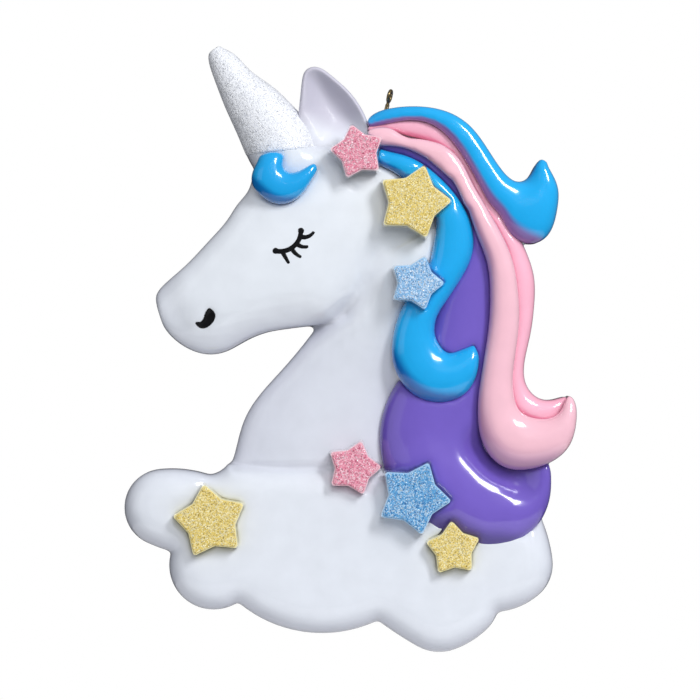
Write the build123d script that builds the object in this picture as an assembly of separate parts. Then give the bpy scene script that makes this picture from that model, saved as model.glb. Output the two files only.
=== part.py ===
from build123d import *
import os
from math import atan2, cos, radians, sin, tan

# Unicorn figurine: a flat-backed relief ornament in cast resin, hung from a small screw eye.
# X runs to the right as seen from the front, Z up, and the front faces -Y.
# The origin is the centre of the screw eye's ring. All lengths are millimetres.

# Overall size, from the horn tip to the cloud and from the cloud to the curl of the mane
ornament_width = 85.25
ornament_height = 114.3

# Heights of the fronts above the flat back
cloud_front = 9.5
neck_front = 7.5
nape_front = 12.5
head_front = 12.0
ear_front = 8.0
horn_front = 11.0
mane_purple_front = 11.0
lock_pink_outer_front = 10.5
lock_blue_inner_front = 13.0
lock_pink_inner_front = 13.5
lock_blue_outer_front = 12.5

# How far each form's front swells above its side walls where it is very wide
lock_swell = 8.0
purple_swell = 6.4
head_swell = 6.5
neck_swell = 5.0
horn_swell = 60.0

# Cloud: rounding of its front border as a share of the ornament's height, and of the notches
# between its lobes
cloud_rounding_share = 0.0385
cloud_notch_radius = 0.5

# Ear: front rounding and its spoon-shaped hollow, which curves down to a small floor
ear_rounding = 0.9
ear_hollow_depth = 3.4
ear_floor_angle = 72
ear_hollow_steps = 3

# Forelock: how far it stands above the head and how deep it is seated
forelock_stand = 2.4
forelock_seat = 3.0

# Stars: points, tip radius of the large and small ones, thickness, corners, draft and glitter field
star_points = 5
star_large_radius = 7.3
star_small_radius = 5.45
star_waist_share = 0.65
star_stand = 2.3
star_seat = 1.8
star_tip_rounding = 0.55
star_inner_rounding = 1.0
star_draft_angle = 6
star_rim = 0.4
star_field_height = 0.25

# Painted eyelashes and nostril, laid in grooves in the head
lash_depth = 1.4
lash_width = 0.7
lash_tip_width = 0.34
lash_blob_radius = 0.48
nostril_pit_depth = 1.2
nostril_fill = 0.6

# Screw eye: ring, wire, thicker rolled shank and the pilot hole that it is screwed into
ring_outer_diameter = 2.75
eye_wire_diameter = 0.62
eye_neck_length = 0.5
eye_neck_flare = 0.15
shank_diameter = 0.8
shank_length = 7.5
shank_point_length = 1.2
shank_point_radius = 0.12
shank_clearance = 0.05
ring_back_distance = 5.0
ring_centre_shares = (0.588, 0.917)
shank_top_shares = (0.580, 0.893)
ring_turn_angle = 13

# Everything that is cut off runs past its face by this much, and the flat back is trimmed
# with a block of this size
overrun = 2.0
trim_size = 260.0

# Facing edges of each raised form, from one end to the other. A row holds a point on each
# edge, as shares of the ornament's width and height, and the front's height there as a
# share of that form's front.
horn_shares = [
    ((0.191, 0.991), (0.209, 1.000), 0.42),
    ((0.187, 0.978), (0.233, 0.991), 0.47),
    ((0.197, 0.952), (0.257, 0.976), 0.56),
    ((0.212, 0.922), (0.285, 0.955), 0.66),
    ((0.229, 0.891), (0.321, 0.936), 0.77),
    ((0.248, 0.860), (0.356, 0.913), 0.87),
    ((0.265, 0.830), (0.387, 0.889), 0.95),
    ((0.285, 0.800), (0.416, 0.858), 1.00),
    ((0.305, 0.771), (0.445, 0.828), 1.00),
]
forelock_shares = [
    ((0.321, 0.821), (0.343, 0.821), 0.93),
    ((0.299, 0.810), (0.354, 0.814), 0.96),
    ((0.288, 0.792), (0.351, 0.804), 0.99),
    ((0.285, 0.772), (0.353, 0.795), 1.00),
    ((0.305, 0.751), (0.361, 0.790), 1.00),
    ((0.338, 0.738), (0.372, 0.788), 1.00),
    ((0.372, 0.742), (0.385, 0.790), 1.00),
    ((0.400, 0.760), (0.400, 0.795), 0.99),
    ((0.418, 0.781), (0.414, 0.801), 0.96),
    ((0.427, 0.795), (0.423, 0.803), 0.92),
]
lock_blue_outer_shares = [
    ((0.540, 0.866), (0.540, 0.876), 0.80),
    ((0.580, 0.870), (0.575, 0.892), 0.84),
    ((0.622, 0.876), (0.619, 0.897), 0.88),
    ((0.664, 0.874), (0.673, 0.896), 0.90),
    ((0.701, 0.860), (0.723, 0.886), 0.93),
    ((0.735, 0.833), (0.766, 0.864), 0.96),
    ((0.788, 0.767), (0.830, 0.797), 1.00),
    ((0.816, 0.733), (0.854, 0.778), 1.00),
    ((0.845, 0.701), (0.874, 0.773), 1.00),
    ((0.876, 0.677), (0.887, 0.776), 1.00),
    ((0.914, 0.675), (0.896, 0.782), 1.00),
    ((0.942, 0.693), (0.903, 0.790), 0.99),
    ((0.958, 0.736), (0.909, 0.799), 0.97),
    ((0.950, 0.780), (0.916, 0.806), 0.93),
    ((0.936, 0.805), (0.922, 0.811), 0.88),
]
lock_pink_inner_shares = [
    ((0.540, 0.840), (0.540, 0.858), 0.86),
    ((0.600, 0.842), (0.611, 0.855), 0.88),
    ((0.655, 0.830), (0.677, 0.842), 0.90),
    ((0.699, 0.807), (0.732, 0.818), 0.93),
    ((0.737, 0.772), (0.770, 0.771), 0.96),
    ((0.781, 0.686), (0.834, 0.686), 1.00),
    ((0.803, 0.642), (0.858, 0.642), 1.00),
    ((0.810, 0.596), (0.869, 0.596), 1.00),
    ((0.808, 0.543), (0.872, 0.546), 1.00),
    ((0.799, 0.493), (0.865, 0.497), 1.00),
    ((0.788, 0.441), (0.858, 0.450), 1.00),
    ((0.783, 0.391), (0.863, 0.414), 1.00),
    ((0.801, 0.333), (0.878, 0.394), 1.00),
    ((0.841, 0.305), (0.898, 0.386), 1.00),
    ((0.889, 0.301), (0.920, 0.383), 1.00),
    ((0.942, 0.313), (0.942, 0.384), 1.00),
    ((0.981, 0.338), (0.960, 0.391), 0.99),
    ((0.998, 0.380), (0.972, 0.404), 0.95),
    ((0.997, 0.406), (0.979, 0.417), 0.90),
    ((0.989, 0.419), (0.981, 0.421), 0.86),
]
lock_blue_inner_shares = [
    ((0.560, 0.807), (0.566, 0.828), 0.86),
    ((0.593, 0.792), (0.615, 0.818), 0.90),
    ((0.628, 0.772), (0.657, 0.804), 0.94),
    ((0.664, 0.744), (0.699, 0.779), 0.97),
    ((0.690, 0.711), (0.741, 0.743), 1.00),
    ((0.686, 0.675), (0.768, 0.701), 1.00),
    ((0.673, 0.635), (0.770, 0.658), 1.00),
    ((0.642, 0.596), (0.748, 0.619), 1.00),
    ((0.611, 0.559), (0.712, 0.578), 1.00),
    ((0.595, 0.517), (0.690, 0.550), 1.00),
    ((0.595, 0.477), (0.686, 0.525), 1.00),
    ((0.617, 0.442), (0.695, 0.507), 1.00),
    ((0.659, 0.417), (0.712, 0.493), 1.00),
    ((0.712, 0.412), (0.732, 0.493), 1.00),
    ((0.754, 0.426), (0.750, 0.498), 0.99),
    ((0.779, 0.457), (0.765, 0.502), 0.96),
    ((0.784, 0.487), (0.773, 0.505), 0.90),
]
lock_pink_outer_shares = [
    ((0.540, 0.853), (0.542, 0.873), 0.90),
    ((0.602, 0.847), (0.602, 0.883), 0.92),
    ((0.670, 0.832), (0.681, 0.883), 0.94),
    ((0.721, 0.804), (0.743, 0.850), 0.96),
    ((0.761, 0.761), (0.803, 0.784), 0.98),
    ((0.796, 0.711), (0.850, 0.719), 1.00),
    ((0.823, 0.662), (0.886, 0.663), 1.00),
    ((0.834, 0.620), (0.905, 0.620), 1.00),
    ((0.838, 0.571), (0.906, 0.571), 1.00),
    ((0.834, 0.521), (0.897, 0.521), 1.00),
    ((0.827, 0.472), (0.884, 0.475), 1.00),
    ((0.832, 0.427), (0.887, 0.442), 1.00),
    ((0.854, 0.391), (0.907, 0.421), 1.00),
    ((0.898, 0.371), (0.934, 0.413), 1.00),
    ((0.940, 0.375), (0.956, 0.415), 0.97),
    ((0.980, 0.398), (0.981, 0.419), 0.90),
]
mane_purple_shares = [
    ((0.570, 0.829), (0.576, 0.848), 0.90),
    ((0.619, 0.804), (0.637, 0.845), 0.92),
    ((0.681, 0.767), (0.712, 0.810), 0.94),
    ((0.723, 0.718), (0.783, 0.749), 0.96),
    ((0.735, 0.662), (0.819, 0.686), 0.98),
    ((0.700, 0.596), (0.836, 0.616), 0.98),
    ((0.681, 0.530), (0.838, 0.546), 0.98),
    ((0.637, 0.474), (0.834, 0.485), 0.98),
    ((0.595, 0.432), (0.826, 0.440), 0.98),
    ((0.573, 0.391), (0.818, 0.405), 0.98),
    ((0.566, 0.347), (0.815, 0.376), 0.98),
    ((0.575, 0.302), (0.820, 0.354), 0.99),
    ((0.600, 0.257), (0.832, 0.337), 1.00),
    ((0.644, 0.216), (0.848, 0.327), 1.00),
    ((0.710, 0.185), (0.864, 0.322), 1.00),
    ((0.788, 0.171), (0.881, 0.319), 1.00),
    ((0.858, 0.177), (0.896, 0.318), 0.99),
    ((0.914, 0.208), (0.910, 0.320), 0.97),
    ((0.941, 0.254), (0.923, 0.323), 0.94),
    ((0.943, 0.295), (0.932, 0.325), 0.90),
]
head_shares = [
    ((0.529, 0.850), (0.721, 0.701), 0.84),
    ((0.478, 0.832), (0.666, 0.678), 0.90),
    ((0.420, 0.829), (0.580, 0.652), 0.96),
    ((0.358, 0.824), (0.535, 0.607), 0.99),
    ((0.294, 0.807), (0.473, 0.550), 1.00),
    ((0.273, 0.757), (0.387, 0.535), 1.00),
    ((0.252, 0.738), (0.356, 0.532), 0.99),
    ((0.232, 0.715), (0.323, 0.528), 0.98),
    ((0.188, 0.677), (0.270, 0.513), 0.94),
    ((0.137, 0.637), (0.221, 0.494), 0.90),
    ((0.097, 0.611), (0.175, 0.491), 0.87),
    ((0.075, 0.594), (0.131, 0.504), 0.84),
    ((0.070, 0.581), (0.097, 0.526), 0.81),
    ((0.073, 0.568), (0.083, 0.545), 0.77),
]
neck_shares = [
    ((0.456, 0.604), (0.710, 0.708), 1.00),
    ((0.442, 0.569), (0.695, 0.642), 0.95),
    ((0.426, 0.535), (0.675, 0.579), 0.80),
    ((0.394, 0.503), (0.660, 0.523), 0.50),
    ((0.352, 0.466), (0.655, 0.477), 0.20),
    ((0.305, 0.427), (0.655, 0.434), 0.05),
    ((0.270, 0.388), (0.655, 0.393), 0.00),
    ((0.252, 0.348), (0.655, 0.351), 0.00),
    ((0.238, 0.310), (0.655, 0.310), 0.00),
    ((0.230, 0.272), (0.655, 0.272), 0.00),
]

# Outlines of the flat-sided forms, as shares of the ornament's width and height. Each lobe
# of the cloud starts at the last point of the one before it.
cloud_shoulder_shares = [(0.230, 0.309), (0.212, 0.296), (0.188, 0.290)]
cloud_lobe_shares = [
    [(0.133, 0.299), (0.075, 0.299), (0.000, 0.240), (0.049, 0.179), (0.104, 0.164)],
    [(0.126, 0.091), (0.252, 0.080)],
    [(0.409, 0.030), (0.562, 0.050)],
    [(0.608, 0.026), (0.650, 0.007), (0.732, 0.002), (0.803, 0.035), (0.827, 0.064)],
    [(0.883, 0.075), (0.921, 0.094), (0.949, 0.150), (0.925, 0.217)],
]
cloud_hidden_shares = [(0.593, 0.299)]
ear_tip_shares = [
    (0.381, 0.873),
    (0.389, 0.909),
    (0.393, 0.939),
    (0.403, 0.960),
    (0.418, 0.965),
    (0.460, 0.950),
    (0.502, 0.921),
    (0.531, 0.888),
    (0.547, 0.855),
]
ear_foot_shares = [(0.527, 0.810), (0.412, 0.800)]
ear_hollow_tip_shares = [
    (0.398, 0.893),
    (0.397, 0.932),
    (0.409, 0.957),
    (0.438, 0.954),
    (0.480, 0.929),
    (0.511, 0.898),
    (0.527, 0.866),
]
ear_hollow_foot_shares = [(0.489, 0.827), (0.454, 0.832)]
ear_floor_centre_shares = (0.472, 0.896)

# Stars: centre, size, turn of the first tip and the front that each stands on
star_places = {
    "star_pink_upper": ((0.517, 0.822), star_small_radius, 31, lock_blue_inner_front),
    "star_yellow_upper": ((0.640, 0.740), star_large_radius, 1.5, lock_blue_inner_front),
    "star_blue_middle": ((0.646, 0.607), star_small_radius, 0, lock_blue_inner_front),
    "star_pink_lower": ((0.508, 0.303), star_small_radius, 2, cloud_front),
    "star_yellow_left": ((0.192, 0.215), star_large_radius, 28, cloud_front),
    "star_blue_lower": ((0.640, 0.255), star_large_radius, -5.5, mane_purple_front),
    "star_yellow_lower": ((0.728, 0.170), star_small_radius, 22, cloud_front),
}

# Closed eyelid, its lashes and the nostril
eyelid_shares = [(0.392, 0.693), (0.383, 0.673), (0.336, 0.660)]
lash_shares = [
    [(0.389, 0.684), (0.409, 0.684), (0.420, 0.691)],
    [(0.382, 0.672), (0.394, 0.667), (0.407, 0.667)],
    [(0.371, 0.665), (0.381, 0.655), (0.392, 0.650)],
    [(0.350, 0.660), (0.358, 0.649), (0.365, 0.640)],
]
nostril_outer_shares = [(0.190, 0.565), (0.201, 0.552), (0.192, 0.540), (0.179, 0.535), (0.160, 0.542)]
nostril_inner_shares = [(0.160, 0.542), (0.176, 0.546), (0.181, 0.556), (0.190, 0.565)]
nostril_height_share = 0.86


def spot(shares, height):
    """A point at these shares of the width and height, so far in front of the flat back."""
    across, up = shares
    x = ornament_width * (across - ring_centre_shares[0])
    z = ornament_height * (up - ring_centre_shares[1])
    return Vector(x, ring_back_distance - height, z)


def crown_profile(left, right, left_front, right_front, swell, foot):
    """A profile across a raised form: straight side walls under a rounded crown."""
    chord = (spot(right, foot) - spot(left, foot)).length
    rise = chord * swell / (2 * swell + chord)
    lift = rise / 3
    left_top = spot(left, left_front - rise)
    right_top = spot(right, right_front - rise)
    crown = Bezier(left_top, spot(left, left_front + lift), spot(right, right_front + lift), right_top)
    walls = [Line(spot(left, foot), left_top), Line(right_top, spot(right, foot))]
    return Face(Wire([walls[0], crown, walls[1], Line(spot(right, foot), spot(left, foot))]))


def raised_form(rows, front, swell, foot=-overrun):
    """A lock, limb or horn lofted through a crowned profile at each row of its edges."""
    profiles = []
    for left, right, share in rows:
        profiles.append(crown_profile(left, right, front * share, front * share, swell, foot))
    return loft(profiles)


def make_neck():
    """The neck, which rises from its free edge to the nape beside the mane."""
    profiles = []
    for throat, nape, share in neck_shares:
        front = neck_front + (nape_front - neck_front) * share
        profiles.append(crown_profile(throat, nape, neck_front, front, neck_swell, -overrun))
    return loft(profiles)


def star_outline(centre, radius, turn, height):
    """A five-pointed star with rounded tips and rounded inner corners."""
    step_angle = radians(180 / star_points)
    waist_height = star_waist_share * sin(step_angle)
    tip_half_angle = atan2(waist_height, 1 - star_waist_share * cos(step_angle))
    sharp_radius = radius + star_tip_rounding * (1 / sin(tip_half_angle) - 1)
    middle = spot(centre, height)
    corners = []
    roundings = []
    for step in range(2 * star_points):
        is_tip = step % 2 == 0
        reach = sharp_radius if is_tip else sharp_radius * star_waist_share
        angle = radians(turn) + step * step_angle
        corners.append(middle + Vector(reach * cos(angle), 0, reach * sin(angle)))
        roundings.append(star_tip_rounding if is_tip else star_inner_rounding)
    return Face(Wire(FilletPolyline(*corners, radius=roundings, close=True).edges()))


def star(centre, radius, turn, carrier_front):
    """A drafted star with a raised field of glitter inside its painted rim."""
    foot = carrier_front - star_seat
    top = carrier_front + star_stand
    spread = (top - foot) * tan(radians(star_draft_angle))
    body = loft([star_outline(centre, radius, turn, foot), star_outline(centre, radius - spread, turn, top)])
    field = star_outline(centre, radius - spread - star_rim, turn, top)
    return body + extrude(field, amount=star_field_height, dir=(0, -1, 0))


def stroke(points, start_width, end_width, foot, front):
    """A brush stroke through three points, tapering from one width to the other."""
    spots = [spot(shares, foot) for shares in points]
    centre = ThreePointArc(*spots).arc_center
    widths = [start_width, (start_width + end_width) / 2, end_width]
    outer = []
    inner = []
    for place, width in zip(spots, widths):
        across = (place - centre).normalized() * (width / 2)
        outer.append(place + across)
        inner.append(place - across)
    edges = [
        ThreePointArc(*outer),
        Line(outer[2], inner[2]),
        ThreePointArc(inner[2], inner[1], inner[0]),
        Line(inner[0], outer[0]),
    ]
    return extrude(Face(Wire(edges)), amount=front - foot, dir=(0, -1, 0))


def leaf_face(tip_shares, foot_shares, height):
    """A leaf shape: one curve over the ear's tip and straight lines round its hidden foot."""
    tip = [spot(shares, height) for shares in tip_shares]
    foot = [spot(shares, height) for shares in foot_shares]
    edges = [Spline(*tip), Line(tip[-1], foot[0]), Line(foot[0], foot[1]), Line(foot[1], tip[0])]
    return Face(Wire(edges))


def make_stars():
    """All stars by name, the foremost pieces of the ornament."""
    stars = {}
    for name, (centre, radius, turn, carrier_front) in star_places.items():
        stars[name] = star(centre, radius, turn, carrier_front)
    return stars


def make_ear():
    """The ear: a rounded leaf with a hollow that is deepest towards its tip."""
    leaf = extrude(leaf_face(ear_tip_shares, ear_foot_shares, -overrun), amount=ear_front + overrun, dir=(0, -1, 0))
    front_curve = leaf.edges().group_by(Axis.Y)[0].sort_by(SortBy.LENGTH)[-1]
    leaf = fillet(front_curve, ear_rounding)
    mouth = leaf_face(ear_hollow_tip_shares, ear_hollow_foot_shares, ear_front)
    middle = spot(ear_floor_centre_shares, ear_front)
    levels = [mouth]
    for step in range(1, ear_hollow_steps + 1):
        angle = radians(ear_floor_angle) * step / ear_hollow_steps
        level = scale(mouth.moved(Pos(-middle)), cos(angle)).moved(Pos(middle))
        levels.append(level.moved(Pos(0, ear_hollow_depth * sin(angle), 0)))
    hollow = loft(levels) + extrude(mouth, amount=overrun, dir=(0, -1, 0))
    return leaf - hollow


def make_cloud():
    """The cloud: tangent arcs round each lobe, small rounded notches and a soft front border."""
    shoulder = [spot(shares, -overrun) for shares in cloud_shoulder_shares]
    edges = [ThreePointArc(*shoulder)]
    notches = []
    for lobe in cloud_lobe_shares:
        start = edges[-1] @ 1
        notches.append(start)
        points = [spot(shares, -overrun) for shares in lobe]
        edges.append(ThreePointArc(start, points[0], points[1]))
        for end in points[2:]:
            edges.append(TangentArc(edges[-1] @ 1, end, tangent=edges[-1] % 1))
    for shares in cloud_hidden_shares:
        edges.append(Line(edges[-1] @ 1, spot(shares, -overrun)))
    edges.append(Line(edges[-1] @ 1, shoulder[0]))
    cloud = extrude(Face(Wire(edges)), amount=cloud_front + overrun, dir=(0, -1, 0))
    upright = cloud.edges().filter_by(Axis.Y)
    notch_edges = [upright.sort_by_distance(notch)[0] for notch in notches]
    cloud = fillet(notch_edges, cloud_notch_radius)
    return fillet(cloud.edges().group_by(Axis.Y)[0], cloud_rounding_share * ornament_height)


def make_eyelashes():
    """Strokes of the closed eyelid and its lashes, as deep as the grooves that hold the paint."""
    foot = head_front - lash_depth
    front = head_front + overrun
    marks = stroke(eyelid_shares, lash_width, lash_width, foot, front)
    for end in (eyelid_shares[0], eyelid_shares[-1]):
        plane = Plane(origin=spot(end, foot), z_dir=(0, -1, 0))
        marks += extrude(plane * Circle(lash_blob_radius), amount=front - foot)
    for points in lash_shares:
        marks += stroke(points, lash_width, lash_tip_width, foot, front)
    return marks


def make_nostril(foot, front):
    """The comma-shaped nostril between two heights."""
    outer = Spline(*[spot(shares, foot) for shares in nostril_outer_shares])
    inner = Spline(*[spot(shares, foot) for shares in nostril_inner_shares])
    return extrude(Face(Wire([outer, inner])), amount=front - foot, dir=(0, -1, 0))


def eye_frame():
    """The ring's centre, the way down its shank and the radius of the wire's centre line."""
    centre = spot(ring_centre_shares, ring_back_distance)
    down = (spot(shank_top_shares, ring_back_distance) - centre).normalized()
    return centre, down, (ring_outer_diameter - eye_wire_diameter) / 2


def make_shank(neck_radius, radius, length):
    """A round pin from the ring's wire down into the casting: thin neck, shank and point."""
    centre, down, ring_radius = eye_frame()
    plane = Plane(origin=centre + down * ring_radius, x_dir=(0, 1, 0), z_dir=down)
    profile = Polyline(
        (0, 0),
        (neck_radius, 0),
        (neck_radius, eye_neck_length),
        (radius, eye_neck_length + eye_neck_flare),
        (radius, length - shank_point_length),
        (shank_point_radius, length),
        (0, length),
        close=True,
    )
    return plane * revolve(Plane.XZ * make_face(profile), Axis.Z)


def make_screw_eye():
    """The closed wire ring, almost edge-on to the front, and its plain shank."""
    centre, down, ring_radius = eye_frame()
    turned = Vector(0, 1, 0).rotate(Axis(centre, down), ring_turn_angle)
    ring_plane = Plane(origin=centre, x_dir=down, z_dir=down.cross(turned))
    ring = ring_plane * Torus(ring_radius, eye_wire_diameter / 2)
    return ring + make_shank(eye_wire_diameter / 2, shank_diameter / 2, shank_length)


def apart(one, two):
    """Whether two boxes are clear of each other."""
    beside = one.max.X < two.min.X or two.max.X < one.min.X
    above = one.max.Z < two.min.Z or two.max.Z < one.min.Z
    before = one.max.Y < two.min.Y or two.max.Y < one.min.Y
    return beside or above or before


# The pieces from front to back: each one is cut by those before it, so that all their
# faces meet without a gap or an overlap
pieces = make_stars()
forelock_front = head_front + forelock_stand
pieces["forelock"] = raised_form(forelock_shares, forelock_front, lock_swell, head_front - forelock_seat)
pieces["lock_blue_outer"] = raised_form(lock_blue_outer_shares, lock_blue_outer_front, lock_swell)
pieces["lock_pink_inner"] = raised_form(lock_pink_inner_shares, lock_pink_inner_front, lock_swell)
pieces["lock_blue_inner"] = raised_form(lock_blue_inner_shares, lock_blue_inner_front, lock_swell)
pieces["lock_pink_outer"] = raised_form(lock_pink_outer_shares, lock_pink_outer_front, lock_swell)
pieces["mane_purple"] = raised_form(mane_purple_shares, mane_purple_front, purple_swell)
pieces["head"] = raised_form(head_shares, head_front, head_swell)
pieces["horn"] = raised_form(horn_shares, horn_front, horn_swell)
pieces["ear"] = make_ear()
pieces["cloud"] = make_cloud()
pieces["neck"] = make_neck()

# Everything behind the flat back is cut off
trim_align = (Align.CENTER, Align.MIN, Align.CENTER)
back_block = Pos(0, ring_back_distance, 0) * Box(trim_size, trim_size, trim_size, align=trim_align)
boxes = {name: piece.bounding_box(optimal=False) for name, piece in pieces.items()}
finished = {}
for name, piece in pieces.items():
    cutters = [back_block]
    for front_name in finished:
        if not apart(boxes[name], boxes[front_name]):
            cutters.append(pieces[front_name])
    for cutter in cutters:
        piece = piece - cutter
    finished[name] = piece

# Eyelashes and nostril: the paint fills grooves in the head, and the nostril is left a little deep
head = finished["head"]
lash_marks = make_eyelashes()
finished["eyelashes"] = head & lash_marks
head = head - lash_marks
nostril_floor = head_front * nostril_height_share - nostril_pit_depth
finished["nostril"] = make_nostril(nostril_floor, nostril_floor + nostril_fill)
finished["head"] = head - make_nostril(nostril_floor, head_front + overrun)

# Screw eye and the pilot hole through every piece that its shank crosses
hole_radius = shank_diameter / 2 + shank_clearance
pilot_hole = make_shank(hole_radius, hole_radius, shank_length + shank_clearance)
hole_box = pilot_hole.bounding_box(optimal=False)
for name, piece in finished.items():
    if name in boxes and not apart(boxes[name], hole_box):
        finished[name] = piece - pilot_hole
finished["screw_eye"] = make_screw_eye()

os.makedirs("parts", exist_ok=True)
for name, piece in finished.items():
    export_step(piece, "parts/" + name + ".step")
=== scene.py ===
from math import radians

import bpy
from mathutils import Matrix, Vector
from mathutils.kdtree import KDTree


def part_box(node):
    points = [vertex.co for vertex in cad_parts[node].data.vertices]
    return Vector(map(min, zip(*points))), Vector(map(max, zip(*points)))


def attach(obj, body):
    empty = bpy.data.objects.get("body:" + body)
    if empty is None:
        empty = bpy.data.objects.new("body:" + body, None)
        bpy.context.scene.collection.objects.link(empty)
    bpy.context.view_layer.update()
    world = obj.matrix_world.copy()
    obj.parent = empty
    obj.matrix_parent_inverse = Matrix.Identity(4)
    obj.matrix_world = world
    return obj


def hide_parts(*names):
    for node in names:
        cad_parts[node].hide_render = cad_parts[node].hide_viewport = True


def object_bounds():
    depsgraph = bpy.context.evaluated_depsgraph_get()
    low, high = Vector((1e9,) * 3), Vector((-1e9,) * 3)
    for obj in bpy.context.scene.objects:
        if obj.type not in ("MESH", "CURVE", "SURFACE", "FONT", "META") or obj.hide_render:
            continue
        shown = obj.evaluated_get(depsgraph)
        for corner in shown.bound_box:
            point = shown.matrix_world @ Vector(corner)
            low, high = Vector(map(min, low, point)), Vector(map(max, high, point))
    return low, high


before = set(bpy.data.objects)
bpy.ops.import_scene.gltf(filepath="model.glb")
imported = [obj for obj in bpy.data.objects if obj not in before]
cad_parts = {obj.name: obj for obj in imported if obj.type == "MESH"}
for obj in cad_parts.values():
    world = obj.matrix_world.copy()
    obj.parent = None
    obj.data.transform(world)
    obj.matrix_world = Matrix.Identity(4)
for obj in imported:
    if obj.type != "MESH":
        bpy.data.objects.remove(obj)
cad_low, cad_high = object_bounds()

bpy.ops.object.select_all(action="DESELECT")

# White casting: head, neck and cloud
# They come out of the mould as one piece of polyester resin with the bed of the mane, dipped in
# gloss white, so the creases between them are soft and the one over the cloud fades out.
back_y = 0.005
skin_margin = 0.0015
doubles_reach = 0.000002
casting_voxel = 0.00045
casting_rounds = 10
casting_level_rounds = 50
casting_swelling = 0.00006
jaw_roll = [
    (-0.0437, -0.0367), (-0.0433, -0.0395), (-0.0415, -0.0420), (-0.0386, -0.0458),
    (-0.0330, -0.0482), (-0.0273, -0.0462), (-0.0207, -0.0429), (-0.0169, -0.0426)
]
jaw_reach = 0.0058
jaw_depth = 0.0012
cheek_crease = [(-0.0137, -0.0437), (-0.0113, -0.0427), (-0.0081, -0.0403)]
cheek_reach = 0.0026
cheek_depth = 0.0013
cheek_line_reach = 0.0014
cheek_line_depth = 0.00025
cheek_rise = [(-0.0090, -0.0410), (-0.0056, -0.0384), (-0.0041, -0.0353), (-0.0038, -0.0312)]
cheek_rise_low_depth = 0.00045
cheek_rise_reach = 0.0032
cheek_rise_depth = 0.00035
cheek_rise_soft_reach = 0.0040
cheek_rise_soft_rounds = 40
throat_end = [(-0.0125, -0.0700), (-0.0060, -0.0690), (-0.0010, -0.0676), (0.0020, -0.0665)]
throat_reach = 0.005
throat_rounds = 120
nape_crease = [(-0.0062, -0.0368), (-0.0030, -0.0306), (0.0038, -0.0280), (0.0100, -0.0255)]
nape_reach = 0.0055
nape_rounds = 200
poll_groove = [(-0.0120, -0.0120), (-0.0105, -0.0142), (-0.0090, -0.0160), (-0.0068, -0.0174)]
poll_reach = 0.0011
poll_depth = 0.0003
cloud_top_z = -0.0715
pillow_fade = 0.003
pillow_rounds = 40
neck_foot_crease = [(-0.0292, -0.0701), (-0.0210, -0.0703), (-0.0122, -0.0701)]
neck_foot_reach = 0.0014
neck_foot_depth = 0.0006


def solid_copy(name, nodes):
    """One mesh holding copies of these solids, with the corners that their faces share merged."""
    bpy.ops.object.select_all(action="DESELECT")
    copies = []
    for node in nodes:
        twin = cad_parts[node].copy()
        twin.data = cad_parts[node].data.copy()
        twin.parent = None
        for key in list(twin.keys()):
            del twin[key]
        bpy.context.scene.collection.objects.link(twin)
        twin.select_set(True)
        copies.append(twin)
    piece = copies[0]
    bpy.context.view_layer.objects.active = piece
    if len(copies) > 1:
        bpy.ops.object.join()
    piece.name = name
    piece.data.name = name
    bpy.ops.object.mode_set(mode="EDIT")
    bpy.ops.mesh.select_all(action="SELECT")
    bpy.ops.mesh.remove_doubles(threshold=doubles_reach)
    bpy.ops.object.mode_set(mode="OBJECT")
    return piece


def finish_modifier(piece, kind, **settings):
    """A modifier with these settings, applied at once."""
    bpy.context.view_layer.objects.active = piece
    modifier = piece.modifiers.new(kind.lower(), kind)
    for key, value in settings.items():
        setattr(modifier, key, value)
    bpy.ops.object.modifier_apply(modifier=modifier.name)


def smooth(piece, rounds, group="", depth_only=False):
    """Rounds of smoothing, over one group or in depth alone where that is asked for."""
    finish_modifier(
        piece, "SMOOTH", factor=0.5, iterations=rounds,
        use_x=not depth_only, use_z=not depth_only, vertex_group=group
    )


def swell(piece, thickness, **settings):
    """The skin pushed out along its normals, or with a direction along that axis alone."""
    finish_modifier(piece, "DISPLACE", strength=thickness, mid_level=0.0, **settings)


def fuse(piece, voxel, rounds):
    """One even skin over all that the mesh holds, softened as paint softens a casting."""
    finish_modifier(piece, "REMESH", mode="VOXEL", voxel_size=voxel)
    smooth(piece, rounds)
    bpy.ops.object.select_all(action="DESELECT")
    piece.select_set(True)
    bpy.ops.object.shade_smooth()


def fade(value, start, end):
    """How far a value has come from start to end, from 0 to 1."""
    return min(max((value - start) / (end - start), 0.0), 1.0)


def ease(share):
    """The same share with a soft start and a soft end."""
    return share * share * (3.0 - 2.0 * share)


def near_line(piece, line, reach):
    """A group of the front's vertices, full along a line of X and Z and fading out at its reach."""
    corners = [Vector(corner) for corner in line]
    group = piece.vertex_groups.new(name="near_line")
    for vertex in piece.data.vertices:
        if vertex.co.y > back_y - skin_margin:
            continue
        place = vertex.co.xz
        gap = reach
        for start, end in zip(corners, corners[1:]):
            along = end - start
            share = fade((place - start).dot(along), 0.0, along.length_squared)
            gap = min(gap, (place - start - along * share).length)
        if gap < reach:
            group.add([vertex.index], ease(1.0 - gap / reach), "REPLACE")
    return group


def soften(piece, line, reach, rounds):
    """A crease along this line worn away, in depth alone, so that the outline stays."""
    group = near_line(piece, line, reach)
    smooth(piece, rounds, group.name, depth_only=True)
    piece.vertex_groups.clear()


def press(piece, line, reach, depth, direction="Y"):
    """A groove pressed into the front along this line, or with a negative depth a ridge."""
    group = near_line(piece, line, reach)
    swell(piece, depth, direction=direction, vertex_group=group.name)
    piece.vertex_groups.clear()


def level_front(piece, rounds):
    """The front of a casting evened out in depth alone, so that its outline stays."""
    group = piece.vertex_groups.new(name="front")
    for vertex in piece.data.vertices:
        if vertex.co.y < back_y - skin_margin:
            group.add([vertex.index], 1.0, "REPLACE")
    smooth(piece, rounds, group.name, depth_only=True)
    piece.vertex_groups.clear()


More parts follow.
